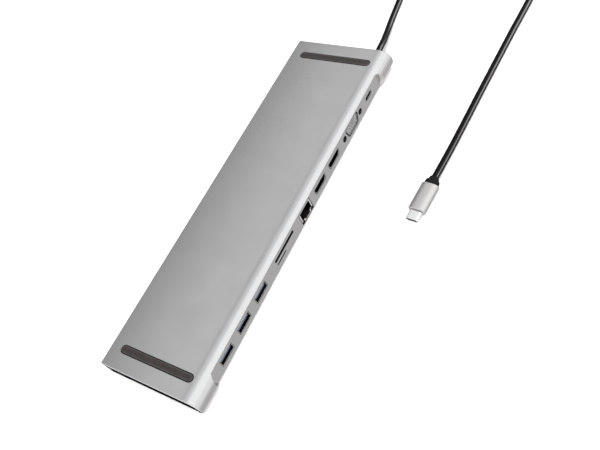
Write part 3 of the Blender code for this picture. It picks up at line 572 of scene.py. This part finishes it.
def build_usb_a():
    """Sleeve with spring leaves, and a tongue with four contacts."""
    back = PORT_FRONT_Y + 14.0
    for number, x in enumerate(USB_A_X, 1):
        shell = sleeve(f"usb_a_sleeve_{number}",
                       lambda g, x=x: rounded(x, DATA_Z, 13.4 + 2 * g, 5.8 + 2 * g, 0.5 + g, 6),
                       PORT_FRONT_Y, back)
        wall = DATA_Z + 2.62
        leaf = [(PORT_FRONT_Y + 2.0, wall), (PORT_FRONT_Y + 4.6, wall - 0.45),
                (PORT_FRONT_Y + 6.2, wall - 0.1), (PORT_FRONT_Y + 6.2, wall + 0.1),
                (PORT_FRONT_Y + 2.0, wall + 0.1)]
        boolean(shell, [lambda bm, dx=dx: add_prism(bm, leaf, "X", x + dx - 1.1, x + dx + 1.1)
                        for dx in (-3.4, 3.4)], "UNION")
        piece(shell, [f"usb_a_shell_{number}"], angle=40.0)
        bm = bmesh.new()
        high = DATA_Z + 2.9
        add_box(bm, (x - 5.7, PORT_FRONT_Y + 0.5, high - 2.75), (x + 5.7, back - 3.0, high - 0.95))
        tongue = link(f"usb_a_insert_{number}", bm)
        soften(tongue, 0.22, 3)
        boolean(tongue, [lambda bm: add_box(bm, (x - 5.7, back - 3.4, DATA_Z - 2.3),
                                            (x + 5.7, back - 0.2, DATA_Z + 2.3))], "UNION")
        piece(tongue, [f"usb_a_tongue_{number}"], "blue_grey_plastic")
        bm = bmesh.new()
        for dx in (-3.5, -1.0, 1.0, 3.5):
            strip = [(PORT_FRONT_Y + 1.5, high - 2.82), (PORT_FRONT_Y + 9.0, high - 2.82),
                     (PORT_FRONT_Y + 9.0, high - 2.7), (PORT_FRONT_Y + 1.5, high - 2.7)]
            add_prism(bm, strip, "X", x + dx - 0.5, x + dx + 0.5)
        piece(link(f"usb_a_contacts_{number}", bm), [], "gold_contact")


def build_hdmi():
    back = PORT_FRONT_Y + 11.0
    for number, x in enumerate(HDMI_X, 1):
        shell = sleeve(f"hdmi_sleeve_{number}",
                       lambda g, x=x: hdmi_outline(x, 15.1 + 2 * g, 5.1 + 2 * g), PORT_FRONT_Y, back)
        piece(shell, [f"hdmi_shell_{number}"], angle=25.0)
        bm = bmesh.new()
        add_box(bm, (x - 5.4, PORT_FRONT_Y + 1.4, DATA_Z + 0.1), (x + 5.4, back - 2.0, DATA_Z + 1.3))
        tongue = link(f"hdmi_insert_{number}", bm)
        soften(tongue, 0.2, 3)
        boolean(tongue, [lambda bm: add_box(bm, (x - 5.4, back - 2.3, DATA_Z - 1.1),
                                            (x + 5.4, back - 0.2, DATA_Z + 1.9))], "UNION")
        piece(tongue, [f"hdmi_tongue_{number}"], "dark_plastic")
        bm = bmesh.new()
        for k in range(10):
            dx = (k - 4.5) * 1.0
            add_box(bm, (x + dx - 0.18, PORT_FRONT_Y + 2.0, DATA_Z + 0.04),
                    (x + dx + 0.18, back - 2.4, DATA_Z + 0.12))
        piece(link(f"hdmi_contacts_{number}", bm), [], "gold_contact")


def build_usb_c():
    back = PORT_FRONT_Y + 7.0
    shell = sleeve("usb_c_sleeve",
                   lambda g: rounded(USB_C_X, USB_C_Z, 8.94 + 2 * g, 3.26 + 2 * g, 1.62 + g, 12),
                   PORT_FRONT_Y, back)
    piece(shell, ["usb_c_shell"])
    bm = bmesh.new()
    add_box(bm, (USB_C_X - 3.2, PORT_FRONT_Y + 0.5, USB_C_Z - 0.35),
            (USB_C_X + 3.2, back - 1.2, USB_C_Z + 0.35))
    tongue = link("usb_c_insert", bm)
    soften(tongue, 0.15, 3)
    boolean(tongue, [lambda bm: add_prism(bm, rounded(USB_C_X, USB_C_Z, 7.8, 2.3, 1.1, 8), "Y",
                                          back - 1.6, back - 0.2)], "UNION")
    piece(tongue, ["usb_c_tongue"], "dark_plastic")
    bm = bmesh.new()
    for k in range(12):
        dx = (k - 5.5) * 0.5
        for sign in (-1, 1):
            level = USB_C_Z + sign * 0.36
            add_box(bm, (USB_C_X + dx - 0.13, PORT_FRONT_Y + 1.2, level - 0.03),
                    (USB_C_X + dx + 0.13, back - 1.8, level + 0.03))
    piece(link("usb_c_contacts", bm), [], "gold_contact")


def build_cards():
    """Card sockets: pressed steel covers behind the slots, coloured near-black as painted shade in the
    slots, with rows of contacts inside.
    """
    front = PORT_INNER_Y + 0.3
    top, roof, under = SD_Z + 1.6, SD_Z - 1.6, 5.9
    bm = bmesh.new()
    outline = [(SD_X - 13.8, under), (SD_X - 12.7, under), (SD_X - 12.7, roof), (SD_X + 12.7, roof),
               (SD_X + 12.7, under), (SD_X + 13.8, under), (SD_X + 13.8, top), (SD_X - 13.8, top)]
    add_prism(bm, outline, "Y", front, front + 25.0)
    socket = link("sd_socket_cover", bm)
    soften(socket, 0.18, 2)
    boolean(socket, [lambda bm: add_box(bm, (SD_X - 12.2, front - 5.0, SD_Z - 1.1),
                                        (SD_X + 12.2, front + 22.0, SD_Z + 1.1))])
    piece(socket, ["sd_card_socket"], "dark_plastic")
    bm = bmesh.new()
    for k in range(9):
        x = SD_X + (k - 4) * 2.5
        add_box(bm, (x - 0.45, front + 14.0, SD_Z - 1.08), (x + 0.45, front + 21.5, SD_Z - 0.86))
    piece(link("sd_socket_contacts", bm), [], "gold_contact")
    bm = bmesh.new()
    add_box(bm, (MICRO_SD_X - 6.2, front, under), (MICRO_SD_X + 6.2, front + 14.0, under + 1.7))
    small = link("microsd_socket_cover", bm)
    soften(small, 0.15, 2)
    boolean(small, [lambda bm: add_box(bm, (MICRO_SD_X - 5.65, front - 5.0, MICRO_SD_Z - 0.45),
                                       (MICRO_SD_X + 5.65, front + 12.0, MICRO_SD_Z + 0.5))])
    piece(small, ["microsd_card_socket"], "dark_plastic")


def build_network():
    front, end = PORT_FRONT_Y, PORT_FRONT_Y + 16.5
    x = NETWORK_X
    bm = bmesh.new()
    add_prism(bm, network_outline(), "Y", front, PORT_INNER_Y - 0.1)
    shield = link("network_shield_sheet", bm)
    boolean(shield, [lambda bm: add_box(bm, (x - NETWORK_HALF, front + 0.8, 4.5),
                                        (x + NETWORK_HALF, end, NETWORK_TOP))], "UNION")
    soften(shield, 0.16, 2)
    boolean(shield, [lambda bm: add_box(bm, (x - 6.2, front - 3.0, 5.15), (x + 6.2, end - 0.4, 12.3))])
    boolean(shield, [lambda bm: add_box(bm, (x - 3.4, front - 3.0, 3.3),
                                        (x + 3.4, PORT_INNER_Y + 3.0, 5.5))])
    for side in (-1, 1):
        slot_x = x + side * 5.9
        boolean(shield, [lambda bm: add_box(bm, (slot_x - 0.75, front - 1.0, 4.72),
                                            (slot_x + 0.75, front + 1.2, 5.3))])
    piece(shield, ["network_shield"], "polished_edge")
    bm = bmesh.new()
    add_box(bm, (x - 6.1, front + 0.45, 5.25), (x + 6.1, end - 0.7, 12.15))
    liner = link("network_liner_body", bm)
    boolean(liner, [lambda bm: add_box(bm, (x - 5.8, front - 3.0, 6.0), (x + 5.8, front + 11.5, 11.7))])
    boolean(liner, [lambda bm: add_box(bm, (x - 3.1, front - 3.0, 4.0), (x + 3.1, front + 9.5, 7.0))])
    soften(liner, 0.08, 2)
    piece(liner, ["network_liner"], "matt_black_and_painted_shade")
    bm = bmesh.new()
    for k in range(8):
        wire_x = x + (k - 3.5) * 1.02
        wire = [(front + 2.6, 11.4), (front + 2.9, 11.4), (front + 9.8, 8.3), (front + 10.1, 8.3),
                (front + 10.1, 8.0), (front + 9.6, 8.0), (front + 2.6, 11.1)]
        add_prism(bm, wire, "X", wire_x - 0.18, wire_x + 0.18)
    piece(link("network_wires", bm), ["network_contacts"], "gold_contact")


def build_vga():
    front, flange = PORT_FRONT_Y, -32.1
    shell = sleeve("vga_sleeve", lambda g: vga_outline(16.6 + 2 * g, 7.6 + 2 * g, 1.8 + g),
                   front, flange + 0.5)
    # a dark steel flange behind the wall: painted shade in the gap round the socket
    boolean(shell, [lambda bm: add_box(bm, (VGA_X - 15.4, flange + 0.1, VGA_Z - 4.3),
                                       (VGA_X + 15.4, flange + 0.9, VGA_Z + 4.3))], "UNION",
            "flange_painted_shade")
    boolean(shell, [lambda bm: add_prism(bm, vga_outline(15.9, 6.9, 1.45), "Y", front - 3.0, flange + 3.0)])
    boolean(shell, [lambda bm, jx=jx: add_prism(bm, circle(jx, VGA_Z, 1.5, 24), "Y", flange - 1.0,
                                                flange + 3.0) for jx in JACKS])
    piece(shell, ["vga_shell"])
    bm = bmesh.new()
    add_prism(bm, vga_outline(15.5, 6.5, 1.3), "Y", front + 0.3, flange + 2.0)
    insulator = link("vga_face", bm)
    soften(insulator, 0.18, 3)
    boolean(insulator, [lambda bm: add_box(bm, (VGA_X - 11.0, flange + 1.2, VGA_Z - 4.2),
                                           (VGA_X + 11.0, flange + 9.0, VGA_Z + 4.2))], "UNION")
    holes = [(VGA_X + (i - 2) * 2.29 + shift - 0.4, VGA_Z + row * 1.98)
             for row, shift in ((1, 0.0), (0, 1.15), (-1, 0.0)) for i in range(5)]
    boolean(insulator, [lambda bm, h=h: skin(bm, [place(circle(h[0], h[1], r, 16), "Y", y) for y, r in
                                                  ((front - 1.0, 0.62), (front + 0.29, 0.62),
                                                   (front + 0.55, 0.42), (front + 3.5, 0.42))])
                        for h in holes])
    piece(insulator, ["vga_insulator"], "grey_plastic")
    for number, jx in enumerate(JACKS, 1):
        bm = bmesh.new()
        steps = ((-34.6, 1.62), (-34.5, 1.75), (-34.35, 1.8), (-32.4, 1.8))
        skin(bm, [place(circle(jx, VGA_Z, r, 32), "Y", y) for y, r in steps])
        nut = link(f"vga_jack_{number}", bm)
        boolean(nut, [lambda bm: add_prism(bm, circle(jx, VGA_Z, 2.7, 6), "Y", PORT_INNER_Y + 0.3, -32.4)],
                "UNION")
        boolean(nut, [lambda bm: add_prism(bm, circle(jx, VGA_Z, 1.3, 24), "Y", front - 1.0, -31.0)])
        piece(nut, [f"vga_jack_nut_{number}"], "dark_steel_and_painted_shade")


# ---------------------------------------------------------------- lead

LEAD_ROUTE = (
    (144.1, LEAD_Y, LEAD_Z), (147.0, -24.1, 8.15), (151.0, -23.6, 7.6), (158.0, -22.3, 6.1),
    (166.0, -20.4, 4.4), (175.0, -18.4, 3.1), (186.0, -16.6, 2.55), (198.0, -15.2, LEAD_REST_Z),
    (212.0, -13.6, LEAD_REST_Z), (228.0, -12.2, LEAD_REST_Z), (245.0, -13.4, LEAD_REST_Z),
    (260.0, -19.4, LEAD_REST_Z), (272.0, -30.2, LEAD_REST_Z), (279.5, -44.8, LEAD_REST_Z),
    (282.0, -61.5, LEAD_REST_Z), (279.0, -78.5, LEAD_REST_Z), (270.5, -93.4, LEAD_REST_Z),
    (257.5, -104.8, LEAD_REST_Z), (241.5, -111.0, LEAD_REST_Z), (224.0, -112.6, LEAD_REST_Z),
    (206.0, -112.0, LEAD_REST_Z), (182.0, -110.7, LEAD_REST_Z), (154.6, -109.6, LEAD_REST_Z),
    (126.0, -108.5, LEAD_REST_Z), (98.0, -107.6, LEAD_REST_Z), (78.0, -106.9, 2.6),
    (64.0, -106.3, 2.95), (51.8, -105.62, PLUG_Z),
)


def spline_points(route, spacing):
    """Evenly spaced points on a smooth curve through the route, and the curve's length."""
    points = [Vector(p) for p in route]
    padded = [2 * points[0] - points[1], *points, 2 * points[-1] - points[-2]]
    fine = []
    for a, b, c, d in zip(padded, padded[1:], padded[2:], padded[3:]):
        for i in range(24):
            t = i / 24
            fine.append(0.5 * (2 * b + (c - a) * t + (2 * a - 5 * b + 4 * c - d) * t * t
                               + (3 * b - 3 * c + d - a) * t ** 3))
    fine.append(points[-1])
    reach = [0.0]
    for first, second in zip(fine, fine[1:]):
        reach.append(reach[-1] + (second - first).length)
    count = max(2, round(reach[-1] / spacing))
    result, k = [], 0
    for i in range(count + 1):
        target = reach[-1] * i / count
        while k < len(reach) - 2 and reach[k + 1] < target:
            k += 1
        share = (target - reach[k]) / (reach[k + 1] - reach[k])
        result.append(fine[k].lerp(fine[k + 1], share))
    return result, reach[-1]


def build_lead():
    points, length = spline_points(LEAD_ROUTE, 2.0)
    curve = bpy.data.curves.new("host_lead", "CURVE")
    curve.dimensions = "3D"
    curve.bevel_depth = 2.39 * MM
    curve.bevel_resolution = 8
    curve.use_fill_caps = True
    curve.resolution_u = 1
    spline = curve.splines.new("POLY")
    spline.points.add(len(points) - 1)
    for slot, point in zip(spline.points, points):
        slot.co = (*(point * MM), 1.0)
    spline.use_smooth = True
    curve.materials.append(MATERIALS["lead_jacket"])
    lead = bpy.data.objects.new("host_lead", curve)
    bpy.context.scene.collection.objects.link(lead)
    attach(lead, "root")
    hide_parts("usb_c_lead")
    grommet = build_grommet()
    plug = build_plug()


def build_grommet():
    inner = HALF_LENGTH - END_POCKET
    steps = ((inner - 2.2, 3.9), (inner - 2.1, 4.0), (inner, 4.0), (inner, 3.3), (HALF_LENGTH + 0.1, 3.3),
             (HALF_LENGTH + 0.1, 3.8), (HALF_LENGTH + 0.2, 3.9), (HALF_LENGTH + 0.8, 3.88),
             (HALF_LENGTH + 1.05, 3.7), (HALF_LENGTH + 2.6, 3.2), (HALF_LENGTH + 3.9, 2.85),
             (HALF_LENGTH + 4.3, 2.6))
    bm = bmesh.new()
    skin(bm, [place(circle(LEAD_Y, LEAD_Z, r, 40), "X", x) for x, r in steps])
    grommet = link("lead_strain_relief", bm)
    return piece(grommet, ["lead_grommet"], "black_plastic")


def oval(width, height, power, sides=72):
    """Closed outline between an ellipse (power 2) and a rectangle (high power)."""
    outline = []
    for i in range(sides):
        a = 2 * math.pi * i / sides
        c, s = math.cos(a), math.sin(a)
        outline.append((width / 2 * math.copysign(abs(c) ** (2 / power), c),
                        height / 2 * math.copysign(abs(s) ** (2 / power), s)))
    return outline


def loft_oval(name, rings, power):
    bm = bmesh.new()
    skin(bm, [place(oval(w, h, power), "X", x) for x, w, h in rings])
    return link(name, bm)


def loft_x(name, rings, steps=12):
    bm = bmesh.new()
    skin(bm, [place(rounded(0.0, 0.0, w, h, r, steps), "X", x) for x, w, h, r in rings])
    return link(name, bm)


def on_plug(obj):
    """Moves a mesh made along X round the origin to the plug's place at the lead's end."""
    turn = Matrix.Rotation(math.radians(PLUG_TURN), 4, "Z")
    obj.data.transform(Matrix.Translation(Vector((PLUG_X, PLUG_Y, PLUG_Z)) * MM) @ turn)


def build_plug():
    """Machined sleeve with chamfered ends, moulded collar and the steel tip with its black core."""
    half, wide, thick = 10.2, 11.6, 6.3
    rings = [(-half, wide - 0.5, thick - 0.5), (-half + 0.2, wide - 0.05, thick - 0.05),
             (-half + 0.32, wide, thick), (half - 0.32, wide, thick),
             (half - 0.2, wide - 0.05, thick - 0.05), (half, wide - 0.5, thick - 0.5)]
    body = loft_oval("plug_sleeve", rings, 2.9)
    on_plug(body)
    piece(body, ["plug_body"], "plug_aluminium", 20.0)
    start = half + 0.3
    rings = [(start, 9.4, 5.5), (start + 0.2, 9.6, 5.7), (start + 2.9, 9.4, 5.6),
             (start + 3.2, 9.0, 5.5), (start + 3.5, 7.2, 5.35), (start + 3.8, 6.8, 5.3),
             (start + 5.4, 6.2, 5.1), (start + 5.7, 5.7, 4.9)]
    collar = loft_oval("plug_strain_relief", rings, 2.5)
    on_plug(collar)
    piece(collar, ["plug_collar"], "black_plastic")
    end = -half - 0.3
    rings = [(end - 6.6, 8.0, 2.2, 1.09), (end - 6.5, 8.2, 2.4, 1.19), (end - 6.3, 8.3, 2.5, 1.24),
             (end, 8.3, 2.5, 1.24)]
    tip = loft_x("plug_tip_shell", rings)
    boolean(tip, [lambda bm: add_prism(bm, rounded(0.0, 0.0, 7.7, 1.9, 0.94, 12), "X",
                                       end - 8.4, end - 1.0)])
    on_plug(tip)
    piece(tip, ["plug_tip"], "polished_edge")
    core = loft_x("plug_tip_core", [(end - 6.3, 7.5, 1.7, 0.84), (end - 1.05, 7.5, 1.7, 0.84)])
    boolean(core, [lambda bm: add_prism(bm, rounded(0.0, 0.0, 6.7, 0.75, 0.37, 6), "X",
                                        end - 8.4, end - 2.0)])
    on_plug(core)
    piece(core, [], "dark_plastic")
    return [body, collar, tip, core]


# ---------------------------------------------------------------- stage

def area_light(name, place_at, look_at, size, power):
    data = bpy.data.lights.new(name, "AREA")
    data.shape, data.size, data.size_y = "RECTANGLE", size[0], size[1]
    data.energy = power
    light = bpy.data.objects.new(name, data)
    light.location = place_at
    light.rotation_euler = (Vector(look_at) - Vector(place_at)).to_track_quat("-Z", "Y").to_euler()
    light.visible_camera = False
    bpy.context.scene.collection.objects.link(light)
    return light


def build_stage():
    bm = bmesh.new()
    size = 4000.0
    bm.faces.new([bm.verts.new(Vector((x, y, 0.0)) * MM)
                  for x, y in ((-size, -size), (size, -size), (size, size), (-size, size))])
    sheet = Nodes("floor_sheet", (0.9, 0.895, 0.885), 0.7)
    sheet.shader.inputs["Specular IOR Level"].default_value = 0.15
    floor = link("floor", bm, ("floor_sheet",))
    floor.visible_glossy = False          # metal sees the studio's own lower half instead
    build_sky()
    bpy.context.scene.view_settings.view_transform = "Standard"
    fill = area_light("overhead", (0.0, -0.2, 1.3), (0.05, 0.0, 0.0), (1.4, 0.9), 18.0)
    fill.visible_glossy = False
    strip = area_light("lead_strip", (0.64, -0.65, 0.26), (0.15, -0.1, 0.0), (0.9, 0.45), 44.0)
    strip.visible_diffuse = False
    receivers = bpy.data.collections.new("lead_strip_receivers")
    receivers.objects.link(bpy.data.objects["host_lead"])
    strip.light_linking.receiver_collection = receivers


# The studio as soft boxes round the dock's length. Each goes from one angle to another, in degrees
# up and over from the horizon behind the dock (90 is overhead, 180 the port side, below that the
# table), and has a brightness and a warmth. Between two boxes the light changes evenly.
SOFT_BOXES = (
    (0, 30, 0.45, 0.0),             # wall behind
    (42, 50, 0.03, 0.0),            # gap
    (51, 57, 1.5, 0.0),             # strip light
    (60, 61, 0.05, 0.0),            # gap
    (68, 76, 1.3, 0.0),             # ceiling's far part
    (82, 140, 1.65, 0.0),           # ceiling
    (150, 180, 1.4, 0.01),          # wall on the port side
    (210, 320, 0.75, 0.015),        # table
)
SIDE_BOX = 1.4                  # soft box past the near end
SKY_SCALE = 2.0


def build_sky():
    """World light that only depends on the angle round the dock's length, and a box at the near end."""
    world = bpy.data.worlds.new("studio")
    bpy.context.scene.world = world
    world.use_nodes = True
    tree = world.node_tree
    background = tree.nodes["Background"]
    place_at = tree.nodes.new("ShaderNodeTexCoord")
    split = tree.nodes.new("ShaderNodeSeparateXYZ")
    tree.links.new(place_at.outputs["Generated"], split.inputs[0])
    angle, turn, wrap = [tree.nodes.new("ShaderNodeMath") for _ in range(3)]
    angle.operation, turn.operation, wrap.operation = "ARCTAN2", "DIVIDE", "FRACT"
    tree.links.new(split.outputs["Z"], angle.inputs[0])
    tree.links.new(split.outputs["Y"], angle.inputs[1])
    tree.links.new(angle.outputs[0], turn.inputs[0])
    turn.inputs[1].default_value = 2 * math.pi
    tree.links.new(turn.outputs[0], wrap.inputs[0])         # 0 to 1 round the whole turn
    ramp = tree.nodes.new("ShaderNodeValToRGB")
    elements = ramp.color_ramp.elements
    while len(elements) < 2 * len(SOFT_BOXES) + 1:
        elements.new(0.5)
    stops = [(degrees, *look) for start, end, *look in SOFT_BOXES for degrees in (start, end)]
    stops.append((360, *SOFT_BOXES[0][2:]))
    for element, (degrees, level, warmth) in zip(elements, stops):
        element.position = degrees / 360.0
        element.color = (*[level / SKY_SCALE * (1 + k * warmth) for k in (1, 0, -1)], 1.0)
    tree.links.new(wrap.outputs[0], ramp.inputs["Fac"])
    side = tree.nodes.new("ShaderNodeMapRange")
    tree.links.new(split.outputs["X"], side.inputs["Value"])
    side.inputs["From Min"].default_value, side.inputs["From Max"].default_value = -0.35, -0.65
    blend = tree.nodes.new("ShaderNodeMix")
    blend.data_type = "RGBA"
    tree.links.new(side.outputs["Result"], blend.inputs["Factor"])
    tree.links.new(ramp.outputs["Color"], blend.inputs[6])
    blend.inputs[7].default_value = (*[SIDE_BOX / SKY_SCALE] * 3, 1.0)
    tree.links.new(blend.outputs[2], background.inputs["Color"])
    background.inputs["Strength"].default_value = SKY_SCALE


def main():
    make_camera()
    make_materials()
    build_lead()
    build_housing()
    build_end_plates()
    build_end_screws()
    build_rubber()
    build_usb_a()
    build_hdmi()
    build_usb_c()
    build_cards()
    build_network()
    build_vga()
    for subpart in frame["record"]["subparts"]:
        node = frame["nodes"][subpart["node"]]
        node.data.materials.clear()
        node.data.materials.append(MATERIALS[subpart["material_slot"]])
    build_stage()


main()
